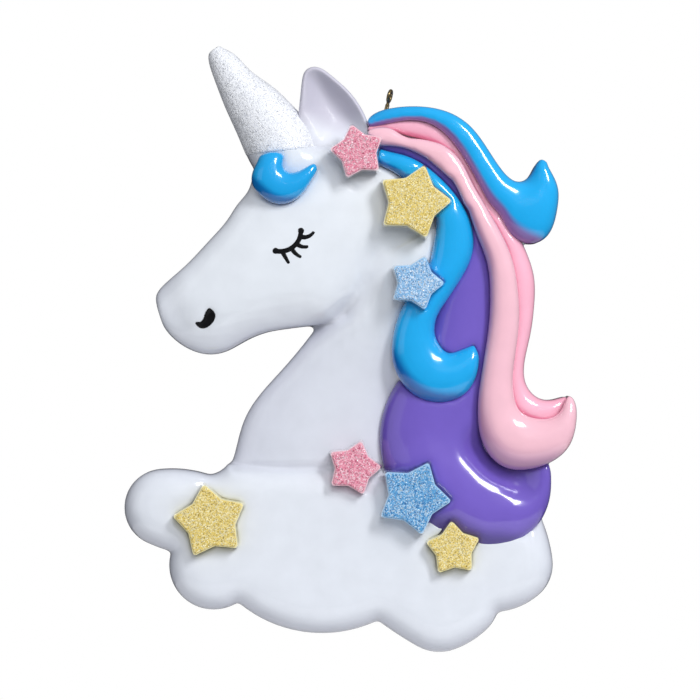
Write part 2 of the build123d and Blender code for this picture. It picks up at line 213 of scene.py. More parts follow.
def add_node(tree, kind, place, **settings):
    """A node of this kind with its settings and unlinked inputs."""
    node = tree.nodes.new(kind)
    node.location = place
    for key, value in settings.items():
        if key in node.inputs:
            node.inputs[key].default_value = value
        else:
            setattr(node, key, value)
    return node


def new_material(name):
    """An empty material with its shader, tree and output linked up."""
    material = bpy.data.materials.new(name)
    material.use_nodes = True
    tree = material.node_tree
    tree.nodes.clear()
    shader = add_node(tree, "ShaderNodeBsdfPrincipled", (600, 0))
    output = add_node(tree, "ShaderNodeOutputMaterial", (900, 0))
    tree.links.new(shader.outputs["BSDF"], output.inputs["Surface"])
    return material, tree, shader


# Where a Mix node keeps its two inputs and its result, for colours and for plain values
colour_a, colour_b, colour_mixed = 6, 7, 2
value_a, value_b, value_mixed = 2, 3, 0
bare_edge_width = 0.0002
bare_edge_wobble = 0.0007
bare_resin_colour = (0.74, 0.72, 0.66, 1.0)
bare_resin_roughness = 0.55
matt_roughness = 0.55


def make_enamel_group():
    """Sprayed enamel over a casting: a second colour towards the back, on most pieces painted shade in
    the hollows and creases, a third colour of painted shade where the piece's shade share asks, and bare
    resin at the back.
    """
    group = bpy.data.node_groups.new("sprayed_enamel", "ShaderNodeTree")
    face = group.interface
    for name, kind, value in (
        ("Colour", "NodeSocketColor", (0.8, 0.8, 0.8, 1.0)),
        ("Deep Colour", "NodeSocketColor", (0.4, 0.4, 0.4, 1.0)),
        ("Deep From", "NodeSocketFloat", -0.007),
        ("Deep To", "NodeSocketFloat", 0.001),
        ("Painted Shade Colour", "NodeSocketColor", (0.4, 0.4, 0.4, 1.0)),
        ("Painted Shade", "NodeSocketFloat", 0.0),
        ("Gloss", "NodeSocketFloat", 1.0),
    ):
        socket = face.new_socket(name=name, in_out="INPUT", socket_type=kind)
        socket.default_value = value
    for name, kind in (
        ("Colour", "NodeSocketColor"),
        ("Roughness", "NodeSocketFloat"),
        ("Height", "NodeSocketFloat"),
        ("Coat", "NodeSocketFloat"),
    ):
        face.new_socket(name=name, in_out="OUTPUT", socket_type=kind)
    start = add_node(group, "NodeGroupInput", (-1200, 0))
    end = add_node(group, "NodeGroupOutput", (900, 0))
    place = add_node(group, "ShaderNodeTexCoord", (-1200, -300))
    parts = add_node(group, "ShaderNodeSeparateXYZ", (-1000, -300))
    link = group.links.new
    link(place.outputs["Object"], parts.inputs["Vector"])
    depth = add_node(group, "ShaderNodeMapRange", (-700, 100), interpolation_type="SMOOTHSTEP")
    link(parts.outputs["Y"], depth.inputs["Value"])
    link(start.outputs["Deep From"], depth.inputs["From Min"])
    link(start.outputs["Deep To"], depth.inputs["From Max"])
    mottle_and_shade = add_node(group, "ShaderNodeTexNoise", (-900, -500), Scale=260.0, Detail=3.0)
    link(place.outputs["Object"], mottle_and_shade.inputs["Vector"])
    # Towards the back the colour turns to the Deep Colour, on most pieces a painted shade in the hollows
    # and creases.
    depth_mixed = add_node(group, "ShaderNodeMix", (-400, 200), data_type="RGBA")
    link(depth.outputs["Result"], depth_mixed.inputs["Factor"])
    link(start.outputs["Colour"], depth_mixed.inputs[colour_a])
    link(start.outputs["Deep Colour"], depth_mixed.inputs[colour_b])
    cloudy = add_node(group, "ShaderNodeMapRange", (-400, -500))
    cloudy.inputs["To Min"].default_value = 0.94
    cloudy.inputs["To Max"].default_value = 1.05
    link(mottle_and_shade.outputs["Fac"], cloudy.inputs["Value"])
    toned = add_node(group, "ShaderNodeMix", (-150, 150), data_type="RGBA", blend_type="MULTIPLY")
    toned.inputs["Factor"].default_value = 1.0
    link(depth_mixed.outputs[colour_mixed], toned.inputs[colour_a])
    link(cloudy.outputs["Result"], toned.inputs[colour_b])
    edge_noise = add_node(group, "ShaderNodeTexNoise", (-900, -750), Scale=900.0, Detail=2.0)
    link(place.outputs["Object"], edge_noise.inputs["Vector"])
    wobble = add_node(group, "ShaderNodeMath", (-650, -750), operation="MULTIPLY")
    wobble.inputs[1].default_value = bare_edge_wobble
    link(edge_noise.outputs["Fac"], wobble.inputs[0])
    edge = add_node(group, "ShaderNodeMath", (-450, -750), operation="ADD")
    link(parts.outputs["Y"], edge.inputs[0])
    link(wobble.outputs["Value"], edge.inputs[1])
    bare = add_node(group, "ShaderNodeMapRange", (-250, -750))
    bare.inputs["From Min"].default_value = back_y - bare_edge_width
    bare.inputs["From Max"].default_value = back_y
    link(edge.outputs["Value"], bare.inputs["Value"])
    resin = add_node(group, "ShaderNodeMix", (100, 100), data_type="RGBA")
    resin.inputs[colour_b].default_value = bare_resin_colour
    link(bare.outputs["Result"], resin.inputs["Factor"])
    # Painted shade, mixed in as far as the piece's shade share goes.
    shade_mixed = add_node(group, "ShaderNodeMix", (-20, 350), data_type="RGBA")
    link(start.outputs["Painted Shade"], shade_mixed.inputs["Factor"])
    link(toned.outputs[colour_mixed], shade_mixed.inputs[colour_a])
    link(start.outputs["Painted Shade Colour"], shade_mixed.inputs[colour_b])
    link(shade_mixed.outputs[colour_mixed], resin.inputs[colour_a])
    link(resin.outputs[colour_mixed], end.inputs["Colour"])
    speck = add_node(group, "ShaderNodeTexNoise", (-900, -1000), Scale=450.0, Detail=0.0)
    link(place.outputs["Object"], speck.inputs["Vector"])
    sheen = add_node(group, "ShaderNodeMapRange", (-500, -1000))
    sheen.inputs["To Min"].default_value = 0.14
    sheen.inputs["To Max"].default_value = 0.24
    link(mottle_and_shade.outputs["Fac"], sheen.inputs["Value"])
    dull = add_node(group, "ShaderNodeMix", (100, -300), data_type="FLOAT")
    dull.inputs[value_b].default_value = bare_resin_roughness
    link(bare.outputs["Result"], dull.inputs["Factor"])
    link(sheen.outputs["Result"], dull.inputs[value_a])
    matt = add_node(group, "ShaderNodeMix", (300, -300), data_type="FLOAT")
    matt.inputs[value_a].default_value = matt_roughness
    link(start.outputs["Gloss"], matt.inputs["Factor"])
    link(dull.outputs[value_mixed], matt.inputs[value_b])
    link(matt.outputs[value_mixed], end.inputs["Roughness"])
    link(speck.outputs["Fac"], end.inputs["Height"])
    coat = add_node(group, "ShaderNodeMath", (100, -500), operation="SUBTRACT", use_clamp=True)
    coat.inputs[0].default_value = 1.0
    link(bare.outputs["Result"], coat.inputs[1])
    gloss = add_node(group, "ShaderNodeMath", (300, -500), operation="MULTIPLY")
    link(coat.outputs["Value"], gloss.inputs[0])
    link(start.outputs["Gloss"], gloss.inputs[1])
    link(gloss.outputs["Value"], end.inputs["Coat"])
    return group


enamel_group = make_enamel_group()


def make_enamel(
    name, colour, deep_colour, painted_shade_colour=(0.5, 0.5, 0.5), deep_from=-0.007, deep_to=0.001, gloss=1.0
):
    """Gloss enamel in one colour of the ornament, with a colour towards the back and a colour of painted
    shade.
    """
    material, tree, shader = new_material(name)
    enamel = add_node(tree, "ShaderNodeGroup", (0, 0), node_tree=enamel_group)
    enamel.inputs["Colour"].default_value = (*colour, 1.0)
    enamel.inputs["Deep Colour"].default_value = (*deep_colour, 1.0)
    enamel.inputs["Deep From"].default_value = deep_from
    enamel.inputs["Deep To"].default_value = deep_to
    enamel.inputs["Painted Shade Colour"].default_value = (*painted_shade_colour, 1.0)
    enamel.inputs["Gloss"].default_value = gloss
    # The piece's share of painted shade.
    mottle_and_shade = add_node(tree, "ShaderNodeAttribute", (-250, -200), attribute_name="painted_shade")
    tree.links.new(mottle_and_shade.outputs["Fac"], enamel.inputs["Painted Shade"])
    bump = add_node(tree, "ShaderNodeBump", (300, -300), Strength=0.02, Distance=0.0001)
    link = tree.links.new
    link(enamel.outputs["Colour"], shader.inputs["Base Color"])
    link(enamel.outputs["Roughness"], shader.inputs["Roughness"])
    link(enamel.outputs["Coat"], shader.inputs["Coat Weight"])
    link(enamel.outputs["Height"], bump.inputs["Height"])
    link(bump.outputs["Normal"], shader.inputs["Normal"])
    shader.inputs["Coat Roughness"].default_value = 0.09
    shader.inputs["IOR"].default_value = 1.5
    return material


def dress(piece, material):
    """This material and no other on the whole piece."""
    piece.data.materials.clear()
    piece.data.materials.append(material)


# The white's second colour is a lavender painted shade in the hollows and creases.
white_enamel = make_enamel("white_enamel", (0.74, 0.78, 0.835), (0.60, 0.62, 0.71))
# The horn lends its plain foot, and the two painted marks fill their own grooves.
casting_nodes = ["head", "neck", "cloud", "horn", "eyelashes", "nostril"]
# A thinner copy of the mane and forelock, grown from the back, is the bed that they lie on.
bed_nodes = [
    "mane_purple", "lock_blue_inner", "lock_blue_outer", "lock_pink_inner", "lock_pink_outer", "forelock"
]
bed_share = 0.7
bed_back_y = 0.0046
plug_sides = 32
root_plug_radius = 0.0016
root_plug_depth = 0.0072
root_plug_place = (-0.0014, 0.0013, -0.0093)
mane_bed = solid_copy("mane_bed", bed_nodes)
bpy.ops.object.mode_set(mode="EDIT")
bpy.ops.mesh.select_all(action="SELECT")
bpy.ops.transform.resize(value=(1.0, bed_share, 1.0), center_override=(0.0, bed_back_y, 0.0))
bpy.ops.object.mode_set(mode="OBJECT")
# Resin fills the small well at the mane's root, between the ear and the purple fall.
bpy.ops.mesh.primitive_cylinder_add(
    vertices=plug_sides,
    radius=root_plug_radius,
    depth=root_plug_depth,
    location=root_plug_place,
    rotation=(radians(90), 0.0, 0.0),
)
root_plug = bpy.context.object
casting = solid_copy("white_casting", casting_nodes)
mane_bed.select_set(True)
root_plug.select_set(True)
casting.select_set(True)
bpy.context.view_layer.objects.active = casting
bpy.ops.object.join()
fuse(casting, casting_voxel, casting_rounds)
press(casting, jaw_roll, jaw_reach, jaw_depth)
press(casting, cheek_crease, cheek_reach, cheek_depth)
level_front(casting, casting_level_rounds)
soften(casting, throat_end, throat_reach, throat_rounds)
soften(casting, nape_crease, nape_reach, nape_rounds)
cloud_group = casting.vertex_groups.new(name="cloud")
for vertex in casting.data.vertices:
    depth_in_cloud = (cloud_top_z - vertex.co.z) / pillow_fade
    if depth_in_cloud > 0.0 and vertex.co.y < back_y - skin_margin:
        cloud_group.add([vertex.index], min(depth_in_cloud, 1.0), "REPLACE")
smooth(casting, pillow_rounds, cloud_group.name, depth_only=True)
casting.vertex_groups.clear()
press(casting, neck_foot_crease, neck_foot_reach, neck_foot_depth)
press(casting, cheek_crease, cheek_line_reach, cheek_line_depth)
press(casting, cheek_crease[:-1], cheek_line_reach, cheek_line_depth)
press(casting, cheek_rise[:-1], cheek_reach, cheek_rise_low_depth)
press(casting, cheek_rise, cheek_rise_reach, cheek_rise_depth)
soften(casting, cheek_rise, cheek_rise_soft_reach, cheek_rise_soft_rounds)
press(casting, poll_groove, poll_reach, poll_depth)
swell(casting, casting_swelling)
dress(casting, white_enamel)
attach(casting, "casting")
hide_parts("head", "neck", "cloud")

# Ear
# A leaf of resin cast with the head, with a spoon-shaped hollow that is steep at the right and
# shallow at the left. It is almost matt, with mauve painted shade over its upper part and lower
# edge, and painted shade deep in the hollow.
ear_voxel = 0.00018
ear_rounds = 6
ear_side_slope = 0.35
ear_front_slope = -0.5
ear_rim_width = 0.0003
ear_steep_reach = 0.0028
ear_gentle_reach = 0.0062
ear_blend_top_z = 0.0025
ear_blend_low_z = -0.0040
ear_hollow_depth = 0.0034
ear_level_rounds = 420
ear_shade_heading = (0.0, 0.0, -1.0)
ear_shade_start = 0.3
ear_shade_end = 1.0
ear_shade_low_z = -0.0070
ear_shade_top_z = -0.0030


def painted_shade(piece, heading, start, end):
    """Painted shade on the faces that look this way, kept as a share on each vertex."""
    heading = Vector(heading).normalized()
    mottle_and_shade = piece.data.attributes.new("painted_shade", "FLOAT", "POINT")
    for vertex in piece.data.vertices:
        mottle_and_shade.data[vertex.index].value = ease(fade(vertex.normal.dot(heading), start, end))


# Its second colour is painted shade deep in the hollow, its third a mauve painted shade.
ear_enamel = make_enamel(
    "ear_enamel", (0.70, 0.72, 0.79), (0.62, 0.62, 0.70), (0.51, 0.50, 0.59),
    deep_from=-0.0026, deep_to=0.0004, gloss=0.1
)
ear = solid_copy("ear_shell", ["ear"])
bpy.ops.object.mode_set(mode="EDIT")
bpy.ops.mesh.select_all(action="SELECT")
bpy.ops.mesh.convex_hull()
bpy.ops.object.mode_set(mode="OBJECT")
fuse(ear, ear_voxel, ear_rounds)
ear_sides = [vertex.co for vertex in ear.data.vertices if abs(vertex.normal.y) < ear_side_slope]
ear_outline = KDTree(len(ear_sides))
for number, corner in enumerate(ear_sides):
    ear_outline.insert((corner.x, 0.0, corner.z), number)
ear_outline.balance()
hollow = ear.vertex_groups.new(name="hollow")
for vertex in ear.data.vertices:
    if vertex.normal.y > ear_front_slope:
        continue
    nearest, _, gap = ear_outline.find((vertex.co.x, 0.0, vertex.co.z))
    reach = ear_steep_reach
    if nearest.x <= vertex.co.x:
        gentleness = fade(vertex.co.z, ear_blend_top_z, ear_blend_low_z)
        reach += (ear_gentle_reach - ear_steep_reach) * gentleness
    hollow.add([vertex.index], ease(fade(gap, ear_rim_width, ear_rim_width + reach)), "REPLACE")
swell(ear, ear_hollow_depth, direction="Y", vertex_group=hollow.name)
smooth(ear, ear_level_rounds, hollow.name, depth_only=True)
ear.vertex_groups.clear()
smooth(ear, ear_rounds)
# Mauve painted shade on the downward faces, and over the upper part, more the higher it lies.
painted_shade(ear, ear_shade_heading, ear_shade_start, ear_shade_end)
ear_shade = ear.data.attributes["painted_shade"]
for vertex in ear.data.vertices:
    share = fade(vertex.co.z, ear_shade_low_z, ear_shade_top_z)
    ear_shade.data[vertex.index].value = max(ear_shade.data[vertex.index].value, share)
dress(ear, ear_enamel)
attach(ear, "casting")
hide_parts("ear")

# Mane and forelock
# Fat ribbons of resin laid side by side, each sprayed in its own gloss colour. Painted shade
# darkens them down their lower-left sides and in the creases where they meet.
lock_voxel = 0.00022
lock_rounds = 9
lock_level_rounds = 110
lock_last_rounds = 22
lock_swelling = 0.00014
shade_heading = (-0.5, -0.1, -0.85)
shade_start = 0.3
pale_shade_start = 0.1
shade_end = 0.6
purple_root = [(-0.0014, -0.0075), (-0.0012, -0.0105)]
purple_root_reach = 0.003
purple_root_shift = -0.0011
purple_roll = [
    (0.0066, -0.0707), (0.0100, -0.0729), (0.0142, -0.0769), (0.0181, -0.0805), (0.0217, -0.0801)
]
purple_roll_reach = 0.008
purple_roll_depth = -0.0008
purple_groove = [(0.0170, -0.0660), (0.0202, -0.0694), (0.0249, -0.0729)]
purple_groove_reach = 0.0050
purple_groove_depth = 0.0019
pink_flank = [
    (-0.0013, -0.0086), (0.0034, -0.0089), (0.0071, -0.0105),
    (0.0111, -0.0137), (0.0133, -0.0167), (0.0146, -0.0195)
]
pink_flank_reach = 0.0026
pink_flank_left = -0.00035
pink_flank_down = -0.00050
pilot_plug_radius = 0.0008
pilot_plug_depth = 0.003
pilot_plug_place = (-0.00107, 0.0, -0.00432)
pilot_plug_turn = 13.96
# Each lock's second colour is painted shade in the creases towards the back, its third painted shade
# down its lower-left sides.
forelock_enamel = make_enamel(
    "forelock_enamel", (0.003, 0.34, 0.74), (0.003, 0.19, 0.48), (0.001, 0.15, 0.46)
)
cyan_enamel = make_enamel(
    "cyan_enamel", (0.004, 0.37, 0.78), (0.004, 0.20, 0.52), (0.002, 0.13, 0.45)
)
# The outer blue lock's shade colours are violet: painted shade and a painted reflection of the pink lock
# beside it.
crown_enamel = make_enamel(
    "crown_cyan_enamel", (0.004, 0.38, 0.80), (0.05, 0.09, 0.36), (0.19, 0.11, 0.38)
)
purple_enamel = make_enamel(
    "purple_enamel", (0.165, 0.105, 0.52), (0.055, 0.03, 0.25), (0.07, 0.04, 0.28)
)
light_pink_enamel = make_enamel(
    "light_pink_enamel", (0.83, 0.49, 0.575), (0.58, 0.25, 0.35), (0.44, 0.23, 0.38)
)
mid_pink_enamel = make_enamel(
    "mid_pink_enamel", (0.92, 0.49, 0.62), (0.60, 0.15, 0.25), (0.78, 0.24, 0.38)
)
for node, paint, slot in (
    ("forelock", forelock_enamel, "cyan_paint"),
    ("lock_blue_outer", crown_enamel, "cyan_paint"),
    ("lock_blue_inner", cyan_enamel, "cyan_paint"),
    ("lock_pink_inner", light_pink_enamel, "light_pink_paint"),
    ("lock_pink_outer", mid_pink_enamel, "mid_pink_paint"),
    ("mane_purple", purple_enamel, "purple_paint"),
):
    lock = solid_copy(node + "_form", [node])
    if node == "lock_blue_outer":
        # Paint closes the mouth of the pilot hole round the screw eye's shank.
        bpy.ops.mesh.primitive_cylinder_add(
            vertices=plug_sides,
            radius=pilot_plug_radius,
            depth=pilot_plug_depth,
            location=pilot_plug_place,
            rotation=(0.0, radians(pilot_plug_turn), 0.0),
        )
        lock.select_set(True)
        bpy.context.view_layer.objects.active = lock
        bpy.ops.object.join()
    fuse(lock, lock_voxel, lock_rounds)
    if node == "mane_purple":
        press(lock, purple_root, purple_root_reach, purple_root_shift, direction="X")
        press(lock, purple_roll, purple_roll_reach, purple_roll_depth)
        press(lock, purple_groove, purple_groove_reach, purple_groove_depth)
    if node == "lock_pink_inner":
        for flank in (pink_flank, pink_flank[:4]):
            press(lock, flank, pink_flank_reach, pink_flank_left, direction="X")
            press(lock, flank, pink_flank_reach, pink_flank_down, direction="Z")
    smooth(lock, lock_level_rounds, depth_only=True)
    smooth(lock, lock_last_rounds)
    swell(lock, lock_swelling)
    # Painted shade down the sides that face the lower left, starting sooner on the pale pink lock.
    start = pale_shade_start if node == "lock_pink_inner" else shade_start
    painted_shade(lock, shade_heading, start, shade_end)
    dress(lock, paint)
    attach(lock, "casting")
    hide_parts(node)

# Horn
# A cone of resin rolled in coarse white glitter while its glue is wet, so that the grains stand
# out of the skin. The plain band at its foot belongs to the white casting.
horn_voxel = 0.0002
horn_rounds = 12
horn_swelling = 0.0001
grain_height = 0.00010
grain_size = 0.00025
grain_sink = 0.3
glitter_edge_place = (-0.0194, 0.0, -0.0104)
glitter_edge_normal = (-0.10, 0.0, 0.99)


def make_glitter_group():
    """Coarse glitter: grains that differ in colour and shine, some of them dark, and pale ones whose
    whiteness is also a painted glint.
    """
    group = bpy.data.node_groups.new("coarse_glitter", "ShaderNodeTree")
    face = group.interface
    for name, kind, value in (
        ("Colour", "NodeSocketColor", (0.8, 0.8, 0.8, 1.0)),
        ("Pale Glint Colour", "NodeSocketColor", (0.9, 0.9, 0.9, 1.0)),
        ("Dark Colour", "NodeSocketColor", (0.4, 0.4, 0.4, 1.0)),
        ("Grain Scale", "NodeSocketFloat", 5200.0),
    ):
        socket = face.new_socket(name=name, in_out="INPUT", socket_type=kind)
        socket.default_value = value
    for name, kind in (
        ("Colour", "NodeSocketColor"),
        ("Roughness", "NodeSocketFloat"),
        ("Metallic", "NodeSocketFloat"),
        ("Height", "NodeSocketFloat"),
    ):
        face.new_socket(name=name, in_out="OUTPUT", socket_type=kind)
    start = add_node(group, "NodeGroupInput", (-1200, 0))
    end = add_node(group, "NodeGroupOutput", (900, 0))
    place = add_node(group, "ShaderNodeTexCoord", (-1200, -300))
    grains = add_node(group, "ShaderNodeTexVoronoi", (-900, -300), feature="F1")
    link = group.links.new
    link(place.outputs["Object"], grains.inputs["Vector"])
    link(start.outputs["Grain Scale"], grains.inputs["Scale"])
    cell = add_node(group, "ShaderNodeSeparateColor", (-700, -300))
    link(grains.outputs["Color"], cell.inputs["Color"])
    ramp = add_node(group, "ShaderNodeMapRange", (-450, 100))
    ramp.inputs["From Min"].default_value = 0.45
    ramp.inputs["From Max"].default_value = 0.95
    link(cell.outputs["Red"], ramp.inputs["Value"])
    # Pale grains: paler flakes, whose whiteness is also a painted glint.
    pale_glint = add_node(group, "ShaderNodeMix", (-200, 200), data_type="RGBA")
    link(ramp.outputs["Result"], pale_glint.inputs["Factor"])
    link(start.outputs["Colour"], pale_glint.inputs[colour_a])
    link(start.outputs["Pale Glint Colour"], pale_glint.inputs[colour_b])
    low = add_node(group, "ShaderNodeMapRange", (-450, -100))
    low.inputs["From Min"].default_value = 0.28
    low.inputs["From Max"].default_value = 0.05
    link(cell.outputs["Green"], low.inputs["Value"])
    dark = add_node(group, "ShaderNodeMix", (50, 200), data_type="RGBA")
    link(low.outputs["Result"], dark.inputs["Factor"])
    link(pale_glint.outputs[colour_mixed], dark.inputs[colour_a])
    link(start.outputs["Dark Colour"], dark.inputs[colour_b])
    link(dark.outputs[colour_mixed], end.inputs["Colour"])
    shine = add_node(group, "ShaderNodeMapRange", (-450, -400))
    shine.inputs["To Min"].default_value = 0.18
    shine.inputs["To Max"].default_value = 0.65
    link(cell.outputs["Blue"], shine.inputs["Value"])
    link(shine.outputs["Result"], end.inputs["Roughness"])
    metal = add_node(group, "ShaderNodeMapRange", (-450, -650))
    metal.inputs["From Min"].default_value = 0.80
    metal.inputs["From Max"].default_value = 0.85
    metal.inputs["To Max"].default_value = 0.6
    link(cell.outputs["Red"], metal.inputs["Value"])
    link(metal.outputs["Result"], end.inputs["Metallic"])
    tilt = add_node(group, "ShaderNodeMath", (-450, -900), operation="SUBTRACT")
    link(cell.outputs["Blue"], tilt.inputs[0])
    link(grains.outputs["Distance"], tilt.inputs[1])
    link(tilt.outputs["Value"], end.inputs["Height"])
    return group


glitter_group = make_glitter_group()


def make_glitter(name, colour, pale_glint_colour, dark_colour):
    """Glitter of one colour, as it comes from its pot."""
    material, tree, shader = new_material(name)
    glitter = add_node(tree, "ShaderNodeGroup", (0, 0), node_tree=glitter_group)
    glitter.inputs["Colour"].default_value = (*colour, 1.0)
    glitter.inputs["Pale Glint Colour"].default_value = (*pale_glint_colour, 1.0)
    glitter.inputs["Dark Colour"].default_value = (*dark_colour, 1.0)
    bump = add_node(tree, "ShaderNodeBump", (300, -300), Strength=0.5, Distance=0.0001)
    link = tree.links.new
    for socket, target in (
        ("Colour", "Base Color"),
        ("Roughness", "Roughness"),
        ("Metallic", "Metallic"),
    ):
        link(glitter.outputs[socket], shader.inputs[target])
    link(glitter.outputs["Height"], bump.inputs["Height"])
    link(bump.outputs["Normal"], shader.inputs["Normal"])
    return material


def grain(piece):
    """Real grains: the skin pushed in and out by a fine cell pattern."""
    pattern = bpy.data.textures.new(piece.name + "_grains", "VORONOI")
    pattern.noise_scale = grain_size
    pattern.intensity = 1.0
    finish_modifier(
        piece,
        "DISPLACE",
        texture=pattern,
        texture_coords="LOCAL",
        strength=grain_height,
        mid_level=grain_sink,
    )


horn_glitter = make_glitter("horn_glitter", (0.80, 0.82, 0.87), (0.95, 0.97, 1.0), (0.64, 0.66, 0.73))
horn = solid_copy("horn_form", ["horn"])
bpy.ops.object.mode_set(mode="EDIT")
bpy.ops.mesh.select_all(action="SELECT")
bpy.ops.mesh.bisect(
    plane_co=glitter_edge_place,
    plane_no=glitter_edge_normal,
    use_fill=True,
    clear_inner=True,
    clear_outer=False,
)
bpy.ops.object.mode_set(mode="OBJECT")
fuse(horn, horn_voxel, horn_rounds)
swell(horn, horn_swelling)
grain(horn)
dress(horn, horn_glitter)
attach(horn, "casting")
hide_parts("horn")

# Stars
# Small castings glued on in front of the mane and cloud. Each is painted in a pale colour
# and has a field of coarse glitter stuck to its face, inside a painted rim.
crust_voxel = 0.0001
crust_rounds = 2
crust_depth = 0.0004
crust_lift = 0.00004
crust_face_margin = 0.00002
star_glitters = {
    "star_pink_upper": make_glitter(
        "pink_glitter", (0.72, 0.24, 0.34), (0.96, 0.74, 0.80), (0.44, 0.08, 0.15)
    ),
    "star_yellow_upper": make_glitter(
        "yellow_glitter", (0.70, 0.54, 0.14), (0.95, 0.90, 0.62), (0.40, 0.28, 0.05)
    ),
    "star_blue_middle": make_glitter(
        "blue_glitter", (0.22, 0.45, 0.72), (0.80, 0.88, 0.97), (0.08, 0.22, 0.46)
    ),
    "star_blue_lower": make_glitter(
        "deep_blue_glitter", (0.08, 0.31, 0.60), (0.64, 0.80, 0.92), (0.02, 0.13, 0.35)
    ),
}
star_glitters["star_pink_lower"] = star_glitters["star_pink_upper"]
star_glitters["star_yellow_left"] = star_glitters["star_yellow_upper"]
star_glitters["star_yellow_lower"] = star_glitters["star_yellow_upper"]
star_paints = {
    "pink": make_enamel("pink_star_paint", (0.83, 0.50, 0.57), (0.72, 0.55, 0.62)),
    "yellow": make_enamel("yellow_star_paint", (0.82, 0.74, 0.38), (0.72, 0.68, 0.50)),
    "blue": make_enamel("blue_star_paint", (0.36, 0.58, 0.80), (0.55, 0.65, 0.78)),
}
# The upper pink star is painted on its face alone, and its sides are bare, their grey deepened with
# painted shade.
bare_star_paint = make_enamel(
    "bare_star_paint", (0.83, 0.55, 0.62), (0.56, 0.56, 0.62), deep_from=-0.0095, deep_to=-0.0088
)
for node, glitter in star_glitters.items():
    hue = node.split("_")[1]
    dress(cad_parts[node], bare_star_paint if node == "star_pink_upper" else star_paints[hue])
    crust = solid_copy(node + "_crust", [node])
    top_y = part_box(node)[0].y
    bpy.ops.object.mode_set(mode="EDIT")
    bpy.ops.mesh.select_mode(type="FACE")
    bpy.ops.mesh.select_all(action="DESELECT")
    bpy.ops.object.mode_set(mode="OBJECT")
    corners = crust.data.vertices
    for face in crust.data.polygons:
        face.select = all(corners[number].co.y < top_y + crust_face_margin for number in face.vertices)
    bpy.ops.object.mode_set(mode="EDIT")
    bpy.ops.mesh.select_all(action="INVERT")
    bpy.ops.mesh.delete(type="FACE")
    bpy.ops.mesh.select_all(action="SELECT")
    bpy.ops.mesh.extrude_region_move(TRANSFORM_OT_translate={"value": (0.0, crust_depth, 0.0)})
    bpy.ops.mesh.select_all(action="SELECT")
    bpy.ops.mesh.normals_make_consistent(inside=False)
    bpy.ops.object.mode_set(mode="OBJECT")
    fuse(crust, crust_voxel, crust_rounds)
    swell(crust, crust_lift)
    grain(crust)
    dress(crust, glitter)
    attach(crust, "casting")

# Eyelashes and nostril
# Fine strokes of black enamel, laid by hand. The grooves under them are filled flush with the
# casting, so they lie on its skin, one film of paint thick.
paint_voxel = 0.00009
paint_rounds = 3
paint_film = 0.00008
mark_front_slope = -0.6
mark_swelling = {"eyelashes": 0.00015, "nostril": 0.00030}


def lay_on(piece, ground, film):
    """The front of a painted mark laid on the skin under it, one film of paint thick."""
    group = piece.vertex_groups.new(name="front")
    for vertex in piece.data.vertices:
        if vertex.normal.y < mark_front_slope:
            group.add([vertex.index], 1.0, "REPLACE")
    finish_modifier(
        piece,
        "SHRINKWRAP",
        target=ground,
        wrap_method="PROJECT",
        wrap_mode="ABOVE_SURFACE",
        use_project_y=True,
        use_negative_direction=True,
        use_positive_direction=True,
        offset=film,
        vertex_group=group.name,
    )
    piece.vertex_groups.clear()


black_enamel, black_tree, black_shader = new_material("black_enamel")
black_place = add_node(black_tree, "ShaderNodeTexCoord", (-600, 0))
black_streaks = add_node(black_tree, "ShaderNodeTexNoise", (-400, 0), Scale=1200.0, Detail=2.0)
black_sheen = add_node(black_tree, "ShaderNodeMapRange", (-100, -100))
black_sheen.inputs["To Min"].default_value = 0.22
black_sheen.inputs["To Max"].default_value = 0.40
black_tree.links.new(black_place.outputs["Object"], black_streaks.inputs["Vector"])
black_tree.links.new(black_streaks.outputs["Fac"], black_sheen.inputs["Value"])
black_tree.links.new(black_sheen.outputs["Result"], black_shader.inputs["Roughness"])
black_shader.inputs["Base Color"].default_value = (0.004, 0.004, 0.005, 1.0)
black_shader.inputs["Specular IOR Level"].default_value = 0.3
for node in ("eyelashes", "nostril"):
    mark = solid_copy(node + "_paint", [node])
    fuse(mark, paint_voxel, paint_rounds)
    swell(mark, mark_swelling[node])
    lay_on(mark, casting, paint_film)
    dress(mark, black_enamel)
    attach(mark, "casting")
    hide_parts(node)

# Screw eye
# Brass-plated steel wire bent to a ring, gone brown. Its shank is screwed into the resin,
# and the solid is used as it comes.
brass, brass_tree, brass_shader = new_material("aged_brass")
brass_shader.inputs["Metallic"].default_value = 1.0
brass_place = add_node(brass_tree, "ShaderNodeTexCoord", (-600, 0))
brass_stain = add_node(brass_tree, "ShaderNodeTexNoise", (-400, 0), Scale=1400.0, Detail=3.0)
brass_ramp = add_node(brass_tree, "ShaderNodeValToRGB", (-150, 0))
brass_ramp.color_ramp.elements[0].color = (0.10, 0.07, 0.03, 1.0)
brass_ramp.color_ramp.elements[1].color = (0.62, 0.48, 0.24, 1.0)
brass_tree.links.new(brass_place.outputs["Object"], brass_stain.inputs["Vector"])
brass_tree.links.new(brass_stain.outputs["Fac"], brass_ramp.inputs["Fac"])
brass_tree.links.new(brass_ramp.outputs["Color"], brass_shader.inputs["Base Color"])
brass_shader.inputs["Roughness"].default_value = 0.3
dress(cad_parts["screw_eye"], brass)

